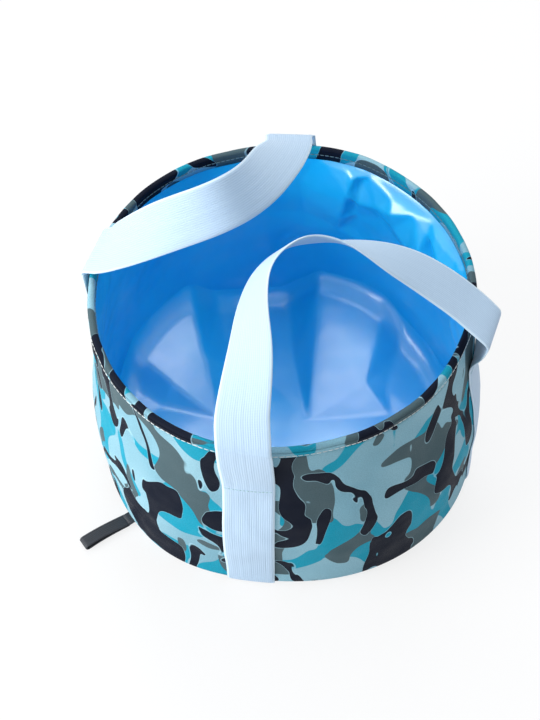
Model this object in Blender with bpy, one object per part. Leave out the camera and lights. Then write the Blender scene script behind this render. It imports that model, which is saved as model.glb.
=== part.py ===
"""Round collapsible camp washbasin with two webbing handles.

Metres, +Z up. The origin is the centre of the base's underside, which stands on the ground.
The basin is a soft tub: a printed fabric shell, a foam sheet and a welded waterproof liner,
held open at the top by a cord inside the rim's folded hem. It folds flat by pushing the rim
down. Two webbing handles are sewn up the wall, stand free of it above their tacks and swing
in and out over the rim. A small pull loop is sewn into the base seam.
"""

import math

import bmesh
import bpy
from mathutils import Matrix, Vector

# Basin: driving sizes
BASIN_HEIGHT = 0.195
RIM_RADIUS = 0.150
BASE_RADIUS = 0.154
WALL_BULGE = 0.005
BASE_CORNER_RADIUS = 0.012
RIM_OVALITY = 0.005
RIM_LONG_WAY_ANGLE = math.radians(68)

# Basin: sheet and seam sizes
SEAT_GAP = 0.0003
SHELL_THICKNESS = 0.0006
FOAM_THICKNESS = 0.0020
LINER_THICKNESS = 0.0006
HEM_CLOTH = 0.0006
HEM_OUTER_DEPTH = 0.013
HEM_INNER_DEPTH = 0.015
HEM_FOLD_RADIUS = 0.0022
RIM_CORD_DIAMETER = 0.0040
TOPSTITCH_DEPTH = 0.0095
THREAD_WIDTH = 0.0009
THREAD_HEIGHT = 0.0005
PANEL_THICKNESS = 0.0010
BOARD_THICKNESS = 0.0020
SEAM_TAPE_WIDTH = 0.0060
SEAM_TAPE_HEIGHT = 0.0018
WELD_BEAD = 0.0030
LINER_TAPE_WIDTH = 0.020
LINER_TAPE_THICKNESS = 0.0005
LINER_TAPE_ANGLE = math.radians(-62)
SHELL_SEAM_WIDTH = 0.012
SHELL_SEAM_THICKNESS = 0.0010
SHELL_SEAM_ANGLE = math.radians(36)

# Handles: driving sizes
STRAP_WIDTH = 0.038
STRAP_THICKNESS = 0.0016
HANDLE_SPREAD = math.radians(42.5)
FRONT_HANDLE_ANGLE = math.radians(-57.5)
BACK_HANDLE_ANGLE = math.radians(127.5)
HANDLE_LEAN = math.radians(55)
HANDLE_REACH = 0.108
FRONT_STAND_OFF = 0.014
BACK_STAND_OFF = 0.012
HINGE_RISE = 0.014
ROOT_BEND_SHARE = 0.3
TWIST_START_SHARE = 0.2
TACK_DEPTH = 0.049
TACK_HEIGHT = 0.0016
TACK_INSET = 0.0025
LEG_FOOT_HEIGHT = 0.0030

# Middle lines of the two loops, seen square to their planes, from the first leg to the
# second: shares of the hinge's half length, and shares of the loop's reach
FRONT_LOOP_SHARES = (
    (-1.00, 0.00), (-0.99, 0.08), (-0.87, 0.24), (-0.66, 0.53), (-0.51, 0.80), (-0.34, 0.98),
    (-0.06, 1.00), (0.20, 0.86), (0.42, 0.67), (0.64, 0.44), (0.84, 0.24), (1.00, 0.08),
    (1.00, 0.00),
)
BACK_LOOP_SHARES = (
    (-1.00, 0.00), (-1.00, 0.08), (-0.86, 0.25), (-0.62, 0.50), (-0.38, 0.73), (-0.10, 0.90),
    (0.18, 1.00), (0.42, 0.95), (0.62, 0.74), (0.80, 0.46), (0.93, 0.24), (1.00, 0.08),
    (1.00, 0.00),
)

# Pull loop: driving sizes
PULL_LOOP_ANGLE = math.radians(215.5)
PULL_LOOP_WIDTH = 0.0105
PULL_LOOP_LENGTH = 0.040
PULL_LOOP_THICKNESS = 0.0012
PULL_LOOP_FOLD = 0.0018
PULL_ROOT_LENGTH = 0.006
PULL_ROOT_HEIGHT = 0.0048

# Counts that set how fine the facets are
RING_SIDES = 64
CORNER_STEPS = 4
WALL_STEPS = 6
LEG_COLUMNS = 5
LEG_FREE_STEPS = 9
LOOP_COLUMNS = 3
LOOP_STEPS = 4
FOLD_STEPS = 6

# Radial places of the layers, measured inwards from the hem's outer face
SHELL_OFFSET = HEM_CLOTH + SEAT_GAP
FOAM_OFFSET = SHELL_OFFSET + SHELL_THICKNESS + SEAT_GAP
LINER_OFFSET = FOAM_OFFSET + FOAM_THICKNESS + SEAT_GAP
LINER_INNER_OFFSET = LINER_OFFSET + LINER_THICKNESS
HEM_INNER_OFFSET = LINER_INNER_OFFSET + SEAT_GAP
HEM_WIDTH = HEM_INNER_OFFSET + HEM_CLOTH

# Heights that follow from the sizes above
BOARD_BOTTOM = PANEL_THICKNESS + SEAT_GAP
FLOOR_BOTTOM = BOARD_BOTTOM + BOARD_THICKNESS + SEAT_GAP
FLOOR_TOP = FLOOR_BOTTOM + LINER_THICKNESS
CORD_RADIUS = RIM_CORD_DIAMETER / 2
CORD_HEIGHT = BASIN_HEIGHT - HEM_CLOTH - SEAT_GAP - CORD_RADIUS
SHEETS_TOP = CORD_HEIGHT - CORD_RADIUS - SEAT_GAP
TACK_LEVEL = BASIN_HEIGHT - TACK_DEPTH
HINGE_LEVEL = BASIN_HEIGHT + HINGE_RISE
PANEL_RADIUS = BASE_RADIUS - BASE_CORNER_RADIUS - SEAT_GAP

# How far the middle of a wall facet lies inside the true circle
FACET_ROOM = BASE_RADIUS * (1 - math.cos(math.pi / RING_SIDES))

UP = Vector((0, 0, 1))


def clear_scene():
    for item in list(bpy.data.objects):
        bpy.data.objects.remove(item, do_unlink=True)


def material(name, colour, roughness, metallic=0.0):
    """One Principled material for one sub-part."""
    made = bpy.data.materials.new(name)
    made.use_nodes = True
    shader = made.node_tree.nodes["Principled BSDF"]
    shader.inputs["Base Color"].default_value = (*colour, 1.0)
    shader.inputs["Roughness"].default_value = roughness
    shader.inputs["Metallic"].default_value = metallic
    made.diffuse_color = (*colour, 1.0)
    return made


def object_from_mesh(name, mesh, finish, origin=Vector((0, 0, 0)), crease=math.radians(40)):
    """Makes the object with its origin at a chosen point and its faces shaded smooth."""
    mesh.transform(Matrix.Translation(-origin))
    mesh.shade_smooth()
    mesh.set_sharp_from_angle(angle=crease)
    mesh.materials.append(finish)
    made = bpy.data.objects.new(name, mesh)
    made.location = origin
    bpy.context.scene.collection.objects.link(made)
    return made


def polar(radius, angle, height=0.0):
    return Vector((radius * math.cos(angle), radius * math.sin(angle), height))


def tangent(angle):
    return Vector((-math.sin(angle), math.cos(angle), 0))


def outer_radius(height, angle):
    """The basin's outer face: a rounded base corner, a slight bulge and an oval rim."""
    if height < BASE_CORNER_RADIUS:
        drop = BASE_CORNER_RADIUS - height
        inset = BASE_CORNER_RADIUS - math.sqrt(max(BASE_CORNER_RADIUS ** 2 - drop ** 2, 0))
        return BASE_RADIUS - inset
    share = (height - BASE_CORNER_RADIUS) / (BASIN_HEIGHT - BASE_CORNER_RADIUS)
    straight = BASE_RADIUS + (RIM_RADIUS - BASE_RADIUS) * share
    bulge = WALL_BULGE * 4 * share * (1 - share)
    oval = RIM_OVALITY * share * math.cos(2 * (angle - RIM_LONG_WAY_ANGLE))
    return straight + bulge + oval


def wall_heights(low, high):
    """Heights that every wall layer shares, so that their facets lie parallel."""
    corner = [
        BASE_CORNER_RADIUS * (1 - math.cos(math.pi / 2 * step / CORNER_STEPS))
        for step in range(CORNER_STEPS + 1)
    ]
    rise = BASIN_HEIGHT - BASE_CORNER_RADIUS
    wall = [BASE_CORNER_RADIUS + rise * step / WALL_STEPS for step in range(1, WALL_STEPS)]
    inside = [height for height in corner + wall if low + SEAT_GAP < height < high - SEAT_GAP]
    return [low] + inside + [high]


def ring(name, section, finish):
    """A closed ring round the basin: section(angle) gives its (radius, height) corners,
    counter-clockwise when the radius points right and the height up."""
    shape = bmesh.new()
    loops = []
    for side in range(RING_SIDES):
        angle = 2 * math.pi * side / RING_SIDES
        loops.append([shape.verts.new(polar(radius, angle, height))
                      for radius, height in section(angle)])
    for side in range(RING_SIDES):
        near, far = loops[side], loops[(side + 1) % RING_SIDES]
        count = len(near)
        for step in range(count):
            after = (step + 1) % count
            shape.faces.new((near[step], far[step], far[after], near[after]))
    bmesh.ops.recalc_face_normals(shape, faces=shape.faces)
    mesh = bpy.data.meshes.new(name)
    shape.to_mesh(mesh)
    shape.free()
    return object_from_mesh(name, mesh, finish)


def wall_layer(name, offset, thickness, low, high, finish):
    """A sheet that follows the wall at a given depth under the hem's outer face."""
    heights = wall_heights(low, high)

    def section(angle):
        outer = [(outer_radius(height, angle) - offset, height) for height in heights]
        inner = [(radius - thickness, height) for radius, height in reversed(outer)]
        return outer + inner

    return ring(name, section, finish)


def disc(name, radius, low, high, finish):
    """A flat round sheet."""
    shape = bmesh.new()
    bmesh.ops.create_cone(
        shape, cap_ends=True, segments=RING_SIDES,
        radius1=radius, radius2=radius, depth=high - low,
    )
    bmesh.ops.translate(shape, verts=shape.verts, vec=UP * (low + high) / 2)
    mesh = bpy.data.meshes.new(name)
    shape.to_mesh(mesh)
    shape.free()
    return object_from_mesh(name, mesh, finish)


def sheet_solid(name, grid, thickness, finish, origin=Vector((0, 0, 0))):
    """A thick strip whose middle surface is a grid of points, rows along its length."""
    rows, columns = len(grid), len(grid[0])
    shape = bmesh.new()
    fronts, backs = [], []
    for row in range(rows):
        front, back = [], []
        for column in range(columns):
            along = grid[min(row + 1, rows - 1)][column] - grid[max(row - 1, 0)][column]
            across = grid[row][min(column + 1, columns - 1)] - grid[row][max(column - 1, 0)]
            lift = across.cross(along).normalized() * thickness / 2
            front.append(shape.verts.new(grid[row][column] + lift))
            back.append(shape.verts.new(grid[row][column] - lift))
        fronts.append(front)
        backs.append(back)
    for row in range(rows - 1):
        for column in range(columns - 1):
            right = column + 1
            shape.faces.new((fronts[row][column], fronts[row][right],
                             fronts[row + 1][right], fronts[row + 1][column]))
            shape.faces.new((backs[row][right], backs[row][column],
                             backs[row + 1][column], backs[row + 1][right]))
        shape.faces.new((backs[row][0], fronts[row][0], fronts[row + 1][0], backs[row + 1][0]))
        shape.faces.new((fronts[row][-1], backs[row][-1], backs[row + 1][-1], fronts[row + 1][-1]))
    for row in (0, rows - 1):
        shape.faces.new([*fronts[row], *reversed(backs[row])])
    bmesh.ops.recalc_face_normals(shape, faces=shape.faces)
    mesh = bpy.data.meshes.new(name)
    shape.to_mesh(mesh)
    shape.free()
    return object_from_mesh(name, mesh, finish, origin)


def smooth_curve(points, steps):
    """One smooth curve through a row of flat points, with the same steps in every span."""
    ends = [points[0]] + list(points) + [points[-1]]
    curve = []
    for span in range(len(points) - 1):
        before, start, end, after = ends[span:span + 4]
        for step in range(steps):
            share = step / steps
            square, cube = share ** 2, share ** 3
            weights = (
                (2 * square - cube - share) / 2,
                (3 * cube - 5 * square + 2) / 2,
                (4 * square - 3 * cube + share) / 2,
                (cube - square) / 2,
            )
            curve.append(tuple(
                sum(weight * point[axis]
                    for weight, point in zip(weights, (before, start, end, after)))
                for axis in range(2)
            ))
    curve.append(tuple(points[-1]))
    return curve


def ease(share):
    return share * share * (3 - 2 * share)


def build_base():
    camo = material("base_camo_cloth", (0.18, 0.36, 0.44), 0.75)
    disc("base_panel", PANEL_RADIUS, 0, PANEL_THICKNESS, camo)

    seam_inner = PANEL_RADIUS - SEAM_TAPE_WIDTH
    tape = material("base_binding_tape", (0.03, 0.04, 0.06), 0.8)
    seam_low = BOARD_BOTTOM
    seam_high = seam_low + SEAM_TAPE_HEIGHT
    ring("base_seam_tape", lambda angle: [
        (seam_inner, seam_low), (PANEL_RADIUS, seam_low),
        (PANEL_RADIUS, seam_high), (seam_inner, seam_high),
    ], tape)

    board = material("base_stiffener_board", (0.25, 0.26, 0.27), 0.9)
    disc("base_board", seam_inner - SEAT_GAP, BOARD_BOTTOM,
         BOARD_BOTTOM + BOARD_THICKNESS, board)


def build_wall():
    shell = material("shell_camo_cloth", (0.18, 0.36, 0.44), 0.7)
    foam = material("wall_foam_sheet", (0.75, 0.77, 0.78), 0.95)
    wall_layer("shell_wall", SHELL_OFFSET, SHELL_THICKNESS, SEAT_GAP, SHEETS_TOP, shell)
    wall_layer("wall_foam", FOAM_OFFSET, FOAM_THICKNESS, FLOOR_TOP + SEAT_GAP, SHEETS_TOP, foam)
    strip_on_wall("shell_seam_strip", SHELL_SEAM_ANGLE, SHELL_SEAM_WIDTH,
                  SHELL_SEAM_THICKNESS, BASE_CORNER_RADIUS,
                  BASIN_HEIGHT - HEM_OUTER_DEPTH - SEAT_GAP,
                  -SHELL_OFFSET + SEAT_GAP + SHELL_SEAM_THICKNESS / 2, shell)


def build_liner():
    sheet = material("liner_blue_sheet", (0.02, 0.22, 0.62), 0.25)
    wall_layer("liner_wall", LINER_OFFSET, LINER_THICKNESS, FLOOR_BOTTOM, SHEETS_TOP, sheet)
    floor_edge = outer_radius(FLOOR_BOTTOM, 0) - LINER_INNER_OFFSET - SEAT_GAP
    disc("liner_floor", floor_edge, FLOOR_BOTTOM, FLOOR_TOP, sheet)

    bead_low = FLOOR_TOP + SEAT_GAP
    bead_outer = outer_radius(bead_low, 0) - LINER_INNER_OFFSET - SEAT_GAP

    def bead_section(angle):
        corner = (bead_outer - WELD_BEAD, bead_low)
        rest = []
        for step in range(FOLD_STEPS // 2 + 1):
            turn = math.pi / 2 * step / (FOLD_STEPS // 2)
            rest.append((bead_outer - WELD_BEAD * (1 - math.sin(turn)),
                         bead_low + WELD_BEAD * (1 - math.cos(turn))))
        return [corner, (bead_outer, bead_low)] + list(reversed(rest[1:]))

    ring("liner_corner_weld", bead_section, sheet)
    strip_on_wall("liner_seam_tape", LINER_TAPE_ANGLE, LINER_TAPE_WIDTH,
                  LINER_TAPE_THICKNESS, BASE_CORNER_RADIUS,
                  BASIN_HEIGHT - HEM_INNER_DEPTH - SEAT_GAP,
                  -LINER_INNER_OFFSET - FACET_ROOM - SEAT_GAP - LINER_TAPE_THICKNESS / 2, sheet)


def strip_on_wall(name, angle, width, thickness, low, high, offset, finish):
    """A narrow strip that lies along the wall from low to high."""
    grid = []
    for height in wall_heights(low, high):
        row = []
        for column in range(LEG_COLUMNS):
            place = width * (column / (LEG_COLUMNS - 1) - 0.5)
            turned = angle + place / BASE_RADIUS
            row.append(polar(outer_radius(height, turned) + offset, turned, height))
        grid.append(row)
    return sheet_solid(name, grid, thickness, finish)


def hem_section(angle):
    """The folded hem: outer side, rounded fold over the cord, inner side."""
    face = outer_radius(BASIN_HEIGHT, angle)
    top = BASIN_HEIGHT
    inner_fold = HEM_FOLD_RADIUS - HEM_CLOTH
    outside, inside = [], []
    for step in range(FOLD_STEPS // 2 + 1):
        turn = math.pi / 2 * step / (FOLD_STEPS // 2)
        rise, side = math.sin(turn), math.cos(turn)
        outside.append((HEM_FOLD_RADIUS * (1 - side), -HEM_FOLD_RADIUS * (1 - rise)))
        inside.append((HEM_CLOTH + inner_fold * (1 - side),
                       -HEM_CLOTH - inner_fold * (1 - rise)))
    outer_path = [(0, -HEM_OUTER_DEPTH)] + outside
    outer_path += [(HEM_WIDTH - depth, height) for depth, height in reversed(outside)]
    outer_path.append((HEM_WIDTH, -HEM_INNER_DEPTH))
    inner_path = [(HEM_WIDTH - HEM_CLOTH, -HEM_INNER_DEPTH)]
    inner_path += [(HEM_WIDTH - depth, height) for depth, height in inside]
    inner_path += list(reversed(inside))
    inner_path.append((HEM_CLOTH, -HEM_OUTER_DEPTH))
    corners = []
    for depth, height in outer_path + inner_path:
        level = top + height
        lean = outer_radius(level, angle) - face
        corners.append((face + lean - depth, level))
    return corners


def build_rim():
    camo = material("hem_camo_cloth", (0.12, 0.28, 0.36), 0.7)
    ring("rim_hem", hem_section, camo)

    cord = material("rim_cord_plastic", (0.85, 0.86, 0.86), 0.5)

    def cord_section(angle):
        middle = outer_radius(CORD_HEIGHT, angle) - HEM_WIDTH / 2
        return [(middle + CORD_RADIUS * math.cos(math.pi * step / 4),
                 CORD_HEIGHT + CORD_RADIUS * math.sin(math.pi * step / 4)) for step in range(8)]

    ring("rim_cord", cord_section, cord)

    thread = material("cream_thread", (0.80, 0.78, 0.68), 0.7)
    level = BASIN_HEIGHT - TOPSTITCH_DEPTH

    def thread_section(angle):
        near = outer_radius(level, angle) + SEAT_GAP
        return [(near, level - THREAD_WIDTH / 2), (near + THREAD_HEIGHT, level - THREAD_WIDTH / 2),
                (near + THREAD_HEIGHT, level + THREAD_WIDTH / 2), (near, level + THREAD_WIDTH / 2)]

    ring("rim_topstitch", thread_section, thread)


def hinge_point(angle, stand_off):
    """The top of a handle's fixed leg, where the free loop starts to swing."""
    return polar(outer_radius(BASIN_HEIGHT, angle) + stand_off, angle, HINGE_LEVEL)


def leg_rows(angle, stand_off):
    """Middle line of one sewn leg: up the wall to the tack, then standing free of it.
    Each row is (centre, share of the wall's curve that the strap follows)."""
    lift = SEAT_GAP + STRAP_THICKNESS / 2
    seat = lift - SHELL_OFFSET
    rows = []
    for height in wall_heights(LEG_FOOT_HEIGHT, TACK_LEVEL)[:-1]:
        drop = max(BASE_CORNER_RADIUS - height, 0) / BASE_CORNER_RADIUS
        place = outer_radius(height, angle) - SHELL_OFFSET + lift / math.sqrt(1 - drop ** 2)
        rows.append((polar(place, angle, height), 1.0))
    top = HINGE_LEVEL - SEAT_GAP
    for step in range(LEG_FREE_STEPS + 1):
        share = step / LEG_FREE_STEPS
        height = TACK_LEVEL + (top - TACK_LEVEL) * share
        wall = outer_radius(min(height, BASIN_HEIGHT), angle)
        clear = seat + (stand_off - seat) * ease(share)
        rows.append((polar(wall + clear, angle, height), 1.0 - ease(share)))
    return rows


def leg_grid(rows, angle, width, proud=0.0):
    grid = []
    for centre, follow in rows:
        middle = Vector((centre.x, centre.y, 0)).length
        row = []
        for column in range(LEG_COLUMNS):
            place = width * (column / (LEG_COLUMNS - 1) - 0.5)
            turned = angle + place / middle
            swell = outer_radius(centre.z, turned) - outer_radius(centre.z, angle)
            curved = polar(middle + swell + proud, turned, centre.z)
            flat = polar(middle + proud, angle, centre.z) + tangent(angle) * place
            row.append(flat.lerp(curved, follow))
        grid.append(row)
    return grid


def build_leg(name, angle, stand_off, webbing, thread):
    rows = leg_rows(angle, stand_off)
    sheet_solid(f"strap_leg_{name}", leg_grid(rows, angle, STRAP_WIDTH), STRAP_THICKNESS, webbing)

    seat = -SHELL_OFFSET + SEAT_GAP + STRAP_THICKNESS / 2
    proud = STRAP_THICKNESS / 2 + SEAT_GAP + THREAD_HEIGHT / 2
    bar = []
    for height in (TACK_LEVEL - TACK_HEIGHT, TACK_LEVEL):
        bar.append((polar(outer_radius(height, angle) + seat, angle, height), 1.0))
    width = STRAP_WIDTH - TACK_INSET * 2
    sheet_solid(f"strap_tack_{name}", leg_grid(bar, angle, width, proud), THREAD_HEIGHT, thread)


def handle_grid(angle, stand_off, loop_shares):
    """The free loop at rest: it rises from both legs, leans in over the basin and turns on
    edge at its top. Its ends lie flat against the wall's curve, its top lies square to it."""
    first = hinge_point(angle - HANDLE_SPREAD, stand_off) + UP * SEAT_GAP
    second = hinge_point(angle + HANDLE_SPREAD, stand_off) + UP * SEAT_GAP
    along = (second - first).normalized()
    middle = (first + second) / 2
    half = (second - first).length / 2
    inward = UP.cross(along)
    lean = inward * math.sin(HANDLE_LEAN) + UP * math.cos(HANDLE_LEAN)
    face = along.cross(lean)

    centres, reaches, bends = [], [], []
    for across, reach in smooth_curve(loop_shares, LOOP_STEPS):
        bend = ease(min(reach / ROOT_BEND_SHARE, 1.0))
        sideways = inward * math.sin(HANDLE_LEAN) * bend + UP * math.cos(HANDLE_LEAN)
        centres.append(middle + along * half * across + sideways * HANDLE_REACH * reach)
        reaches.append(reach)
        bends.append(bend)
    top = reaches.index(max(reaches))
    last = len(centres) - 1
    grid = []
    for index, centre in enumerate(centres):
        if index <= top:
            share, root = index / top, tangent(angle - HANDLE_SPREAD)
        else:
            share, root = (last - index) / (last - top), -tangent(angle + HANDLE_SPREAD)
        turn = ease(max(share - TWIST_START_SHARE, 0) / (1 - TWIST_START_SHARE))
        path = UP.copy()
        if 0 < index < last:
            path = (centres[index + 1] - centres[index - 1]).normalized()
            path = (UP if index <= top else -UP).lerp(path, bends[index])
        side = root.lerp(face, turn)
        path.normalize()
        side -= path * side.dot(path)
        side.normalize()
        grid.append([centre + side * STRAP_WIDTH * (column / (LOOP_COLUMNS - 1) - 0.5)
                     for column in range(LOOP_COLUMNS)])
    return grid, middle - UP * SEAT_GAP


def build_handles():
    webbing = material("white_blue_webbing", (0.72, 0.86, 0.93), 0.65)
    thread = material("tack_thread", (0.75, 0.80, 0.80), 0.7)
    handles = (("front", FRONT_HANDLE_ANGLE, FRONT_STAND_OFF, FRONT_LOOP_SHARES),
               ("back", BACK_HANDLE_ANGLE, BACK_STAND_OFF, BACK_LOOP_SHARES))
    for name, angle, stand_off, loop_shares in handles:
        build_leg(f"{name}_first", angle - HANDLE_SPREAD, stand_off, webbing, thread)
        build_leg(f"{name}_second", angle + HANDLE_SPREAD, stand_off, webbing, thread)
        grid, middle = handle_grid(angle, stand_off, loop_shares)
        sheet_solid(f"{name}_handle", grid, STRAP_THICKNESS, webbing, middle)


def build_pull_loop():
    """A folded webbing loop, its two ends held in a stub that the base seam clamps.
    It lifts about its upper edge at the stub, so that no corner of it turns into the stub."""
    webbing = material("grey_webbing", (0.035, 0.04, 0.05), 0.8)
    angle = PULL_LOOP_ANGLE
    outward, across = polar(1, angle), tangent(angle)
    start = outer_radius(PULL_ROOT_HEIGHT, angle) - SHELL_OFFSET + SEAT_GAP
    half = PULL_LOOP_WIDTH / 2
    gap_height = PULL_LOOP_FOLD / 2 + PULL_LOOP_THICKNESS
    middle_height = gap_height + SEAT_GAP

    def point(reach, height):
        return outward * (start + reach) + UP * (middle_height + height)

    stub = [[point(reach, 0) + across * side for side in (-half, half)]
            for reach in (SEAT_GAP, PULL_ROOT_LENGTH)]
    sheet_solid("pull_loop_root", stub, gap_height * 2, webbing)

    near = PULL_ROOT_LENGTH + SEAT_GAP
    far = PULL_ROOT_LENGTH + PULL_LOOP_LENGTH
    bend = (PULL_LOOP_FOLD + PULL_LOOP_THICKNESS) / 2
    path = [point(near + (far - near) * step / FOLD_STEPS, -bend) for step in range(FOLD_STEPS)]
    for step in range(FOLD_STEPS + 1):
        turn = math.pi * step / FOLD_STEPS
        path.append(point(far + bend * math.sin(turn), -bend * math.cos(turn)))
    path += [point(far - (far - near) * step / FOLD_STEPS, bend)
             for step in range(1, FOLD_STEPS + 1)]
    loop = [[centre + across * side for side in (-half, half)] for centre in path]
    hinge = point(near, gap_height)
    sheet_solid("pull_loop", loop, PULL_LOOP_THICKNESS, webbing, hinge)


def main():
    clear_scene()
    build_base()
    build_wall()
    build_liner()
    build_rim()
    build_handles()
    build_pull_loop()


main()
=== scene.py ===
"""Looks of the collapsible camp washbasin: cloth, liner, webbing, stitching, light and camera."""

import math

import bpy
import numpy as np
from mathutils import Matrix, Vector, geometry, noise


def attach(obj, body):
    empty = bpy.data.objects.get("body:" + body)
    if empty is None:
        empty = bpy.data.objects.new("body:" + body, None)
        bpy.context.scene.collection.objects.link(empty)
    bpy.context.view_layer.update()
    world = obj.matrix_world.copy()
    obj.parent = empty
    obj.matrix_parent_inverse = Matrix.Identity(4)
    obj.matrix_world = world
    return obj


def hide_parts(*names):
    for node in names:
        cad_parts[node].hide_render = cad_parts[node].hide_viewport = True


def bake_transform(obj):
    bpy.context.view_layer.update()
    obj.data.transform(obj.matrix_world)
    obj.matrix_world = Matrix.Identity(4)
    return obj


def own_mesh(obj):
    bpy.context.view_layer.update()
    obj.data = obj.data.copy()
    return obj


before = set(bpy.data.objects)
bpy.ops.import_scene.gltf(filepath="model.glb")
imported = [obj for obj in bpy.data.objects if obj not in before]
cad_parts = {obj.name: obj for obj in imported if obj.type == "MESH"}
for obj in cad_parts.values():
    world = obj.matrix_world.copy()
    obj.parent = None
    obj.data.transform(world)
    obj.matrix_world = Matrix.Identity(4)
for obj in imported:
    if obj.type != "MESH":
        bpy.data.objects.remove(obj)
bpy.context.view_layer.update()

# Basin sizes, in metres
HEIGHT = 0.195
RIM_RADIUS = 0.150
BASE_RADIUS = 0.154
CORNER = 0.012
FLOOR_LEVEL = 0.0042
SIDES = 288
LINER_SIDES = 480

# Rim shape seen from above: how far it departs from a circle, in millimetres, by angle
RIM_SHAPE = (
    (-173, -3.0), (-150, 1.0), (-127, 5.5), (-108, 6.0), (-90, 1.5), (-75, -1.5), (-42, -6.0),
    (-25, -9.0), (9, -6.0), (34, -2.5), (57, 2.0), (68, 5.0), (79, 4.0), (100, 2.0), (128, 2.0),
    (147, -1.0),
)
# Where the foot departs from a circle: its place in degrees, how far, and how narrow it is
FOOT_SWELLS = ((-25, 0.0085, 4), (-98, -0.0032, 10), (-126, 0.0042, 14))
# The wall's low belly, and its dents: depth, share of the height that counts, size and seed
BELLY = 0.0048
BELLY_TOP_SHARE = 0.74
DENTS = ((0.0016, 0.45, 0.034, 3.1), (0.0009, 0.8, 0.016, 9.4))
DENT_FADE = 0.7

# Cloth, and the room between it and the liner, which narrows towards the hem
CLOTH = 0.0006
WALL_PADDING = 0.0036
TOP_PADDING = 0.0020
NARROW_DEPTH = 0.045
NARROW_RUN = 0.03

# Hem: its depth on both sides, its width over the rim, and how far it leans with the wall
HEM_OUTER = 0.0084
HEM_INNER = 0.0118
HEM_WIDTH = TOP_PADDING + CLOTH * 2 + 0.0012
HEM_LEAN_SHARE = 0.7
HEM_LEAN_LIMITS = (-0.002, 0.004)
STITCH_DEPTH = 0.0062
# How far the sheets reach up inside the hem
SHELL_TUCK = 0.0012
LINER_TUCK = 0.0015

# Webbing sizes
STRAP_WIDTH = 0.038
STRAP_THICKNESS = 0.0015
TACK_LEVEL = HEIGHT - 0.049
REACH = 0.108


# Numbers and meshes
def polar(radius, angle, height=0.0):
    return np.array((radius * math.cos(angle), radius * math.sin(angle), height))


def tangent(angle):
    return np.array((-math.sin(angle), math.cos(angle), 0.0))


def unit(vector):
    return vector / np.linalg.norm(vector)


def ease(share):
    share = min(max(share, 0.0), 1.0)
    return share * share * (3 - 2 * share)


def rim_table():
    """The rim's departure from a circle, smoothed, once per degree."""
    spread = 7.0
    reach = 24
    angles = [angle for angle, _ in RIM_SHAPE]
    values = [value / 1000 for _, value in RIM_SHAPE]
    table = np.interp(np.arange(-180, 180), angles, values, period=360)
    window = np.exp(-0.5 * (np.arange(-reach, reach + 1) / spread) ** 2)
    window /= window.sum()
    padded = np.concatenate([table[-reach:], table, table[:reach]])
    return np.convolve(padded, window, "valid")


RIM_TABLE = rim_table()


def rim_radius(angle):
    place = (math.degrees(angle) + 180) % 360
    low = int(place)
    part = place - low
    return RIM_RADIUS + RIM_TABLE[low] * (1 - part) + RIM_TABLE[(low + 1) % 360] * part


def soft_noise(angle, height, size, seed):
    """Smooth noise on the wall, which closes on itself round the basin."""
    around = RIM_RADIUS / size
    return noise.noise(Vector((around * math.cos(angle) + seed, around * math.sin(angle),
                               height / size)))


def wall_radius(angle, height):
    """The outer cloth: a rounded foot, a low belly, and the rim's own shape at the top."""
    share = min(max((height - CORNER) / (HEIGHT - CORNER), 0.0), 1.0)
    foot = BASE_RADIUS
    for degrees, swell, narrowness in FOOT_SWELLS:
        foot += swell * max(math.cos(angle - math.radians(degrees)), 0.0) ** narrowness
    inset = 0.0
    if height < CORNER:
        inset = CORNER - math.sqrt(max(CORNER ** 2 - (CORNER - height) ** 2, 0.0))
    belly = BELLY * math.sin(math.pi * min(share / BELLY_TOP_SHARE, 1.0)) ** 2
    straight = foot + (rim_radius(angle) - foot) * share
    free = math.sin(math.pi * share) ** DENT_FADE if 0 < share < 1 else 0.0
    dents = sum(depth * soft_noise(angle, height * stretch, size, seed)
                for depth, stretch, size, seed in DENTS)
    return straight + belly - inset + dents * free


def padding(height):
    narrow = ease((height - HEIGHT + NARROW_DEPTH) / NARROW_RUN)
    return WALL_PADDING + (TOP_PADDING - WALL_PADDING) * narrow


def lengths_along(points):
    """How far along a row of points each one lies."""
    steps = np.linalg.norm(np.diff(points, axis=0), axis=1)
    return np.concatenate([[0], np.cumsum(steps)])


def soften(grid):
    """Evens out a grid that closes on itself sideways, once across and once up."""
    grid = (np.roll(grid, 1, 1) + 2 * grid + np.roll(grid, -1, 1)) / 4
    grid[1:-1] = (grid[:-2] + 2 * grid[1:-1] + grid[2:]) / 4
    return grid


def soften_line(rows, times):
    """Evens out a row of points in place, apart from two at each end."""
    for _ in range(times):
        rows[2:-2] = (rows[1:-3] + rows[2:-2] * 2 + rows[3:-1]) / 4


def add_object(name, data):
    made = bpy.data.objects.new(name, data)
    bpy.context.scene.collection.objects.link(made)
    return made


def mesh_object(name, points, faces, uvs, finish):
    """A smooth mesh. uvs gives each face's corners on the flat cloth, in metres."""
    mesh = bpy.data.meshes.new(name)
    mesh.from_pydata([tuple(map(float, point)) for point in points], [], faces)
    layer = mesh.uv_layers.new(name="cloth")
    corners = [corner for face_uvs in uvs for corner in face_uvs]
    layer.data.foreach_set("uv", np.asarray(corners, np.float32).ravel())
    mesh.materials.append(finish)
    mesh.shade_smooth()
    mesh.update()
    return add_object(name, mesh)


def cells(rows, columns):
    """The faces of a grid, each as the rows and columns of its corners."""
    return [[(row, column), (row, column + 1), (row + 1, column + 1), (row + 1, column)]
            for row in range(rows) for column in range(columns)]


def capped_cells(rows, columns, caps=(True, True)):
    """The faces of a strip of closed sections, with the caps asked for at its start and end."""
    faces = cells(rows - 1, columns)
    if caps[0]:
        faces.append([(0, column) for column in reversed(range(columns))])
    if caps[1]:
        faces.append([(rows - 1, column) for column in range(columns)])
    return faces


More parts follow.
